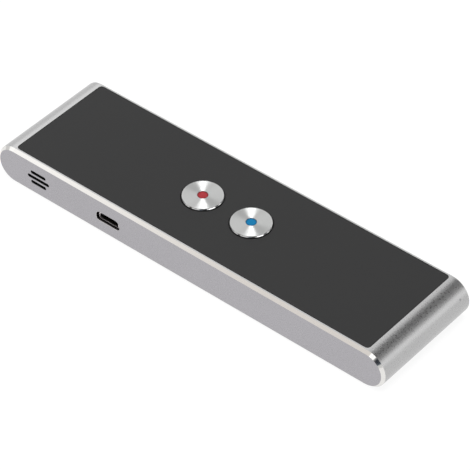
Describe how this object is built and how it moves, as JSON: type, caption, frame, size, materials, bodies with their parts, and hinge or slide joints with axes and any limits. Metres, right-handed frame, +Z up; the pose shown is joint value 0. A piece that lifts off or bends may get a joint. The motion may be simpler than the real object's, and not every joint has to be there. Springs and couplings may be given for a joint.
{
  "type": "handheld translator",
  "caption": "Slim bar-shaped pocket voice translator: metal housing with half-round ends, flush dark front, push buttons, sound slots and a charging socket.",
  "frame": {"origin": "centre of the flat rest face, at the bottom of the housing", "axes": "+X along the length, away from the sound slots; -Y out of the side with the slots and the charging socket; +Z up through the front with the buttons"},
  "size_m": [0.14, 0.039, 0.0132],
  "materials": {
    "housing_metal": "fine bead-blasted satin, bright cut side chamfers",
    "front_coating": "smooth satin dark grey",
    "spun_metal": "concentric spun grain, polished bevel",
    "red_enamel": "satin gloss",
    "blue_enamel": "satin gloss",
    "adhesive": "matte foam tape",
    "frame_plastic": "moulded, fine texture",
    "plunger_plastic": "moulded, smooth black",
    "switch_plastic": "moulded, smooth",
    "steel_sheet": "plain bright sheet",
    "screw_steel": "zinc plated",
    "contact_gold": "gold plated",
    "board_mask": "solder mask, satin",
    "chip_resin": "moulded resin",
    "ceramic": "fired ceramic chips",
    "cell_foil": "laminated foil pouch",
    "tape_white": "paper tape",
    "cell_board": "polyimide wrapped board",
    "lead_cover": "silicone insulation",
    "socket_white": "moulded connector",
    "speaker_plastic": "moulded, fine texture",
    "magnet_nickel": "nickel plated",
    "coil_copper": "enamelled copper winding",
    "diaphragm_film": "formed film",
    "cloth_black": "acoustic mesh",
    "liner_black": "matte black",
    "foam_black": "closed-cell foam",
    "flex_amber": "polyimide film",
    "mic_mesh_metal": "fine sintered mesh",
    "antenna_copper": "copper film"
  },
  "bodies": {
    "housing": {"antenna_flex": "antenna_copper", "audio_chip": "chip_resin", "battery_cell": "cell_foil", "battery_connector": "socket_white", "battery_leads": "lead_cover", "battery_protection_board": "cell_board", "battery_tape": "tape_white", "blue_switch_base": "switch_plastic", "blue_switch_cover": "steel_sheet", "blue_switch_dome": "steel_sheet", "board_components": "ceramic", "board_screws": "screw_steel", "body_shell": "housing_metal", "flex_connector": "switch_plastic", "frame_screws": "screw_steel", "front_panel": "front_coating", "inner_frame": "frame_plastic", "main_board": "board_mask", "memory_chip": "chip_resin", "microphone_boot": "foam_black", "microphone_capsule": "magnet_nickel", "microphone_flex": "flex_amber", "microphone_mesh": "mic_mesh_metal", "panel_adhesive": "adhesive", "processor_chip": "chip_resin", "radio_shield": "steel_sheet", "red_switch_base": "switch_plastic", "red_switch_cover": "steel_sheet", "red_switch_dome": "steel_sheet", "speaker_basket": "speaker_plastic", "speaker_box": "speaker_plastic", "speaker_box_lid": "speaker_plastic", "speaker_coil": "coil_copper", "speaker_diaphragm": "diaphragm_film", "speaker_gasket": "foam_black", "speaker_grille": "liner_black", "speaker_leads": "lead_cover", "speaker_magnet": "magnet_nickel", "speaker_mesh": "cloth_black", "speaker_yoke": "steel_sheet", "switch_terminals": "steel_sheet", "usb_contacts": "contact_gold", "usb_shell": "steel_sheet", "usb_tongue": "switch_plastic"},
    "red_button": {"red_button_cap": "spun_metal", "red_button_dot": "red_enamel", "red_button_carrier": "plunger_plastic", "red_switch_stem": "plunger_plastic"},
    "blue_button": {"blue_button_cap": "spun_metal", "blue_button_dot": "blue_enamel", "blue_button_carrier": "plunger_plastic", "blue_switch_stem": "plunger_plastic"}
  },
  "joints": [
    {"name": "red_button_press", "type": "slide", "parent": "housing", "child": "red_button", "axis": [0, 0, 1], "range_m": [-0.0003, 0], "stiffness_N_per_m": 4000, "deforming": ["red_switch_dome"]},
    {"name": "blue_button_press", "type": "slide", "parent": "housing", "child": "blue_button", "axis": [0, 0, 1], "range_m": [-0.0003, 0], "stiffness_N_per_m": 4000, "deforming": ["blue_switch_dome"]}
  ]
}
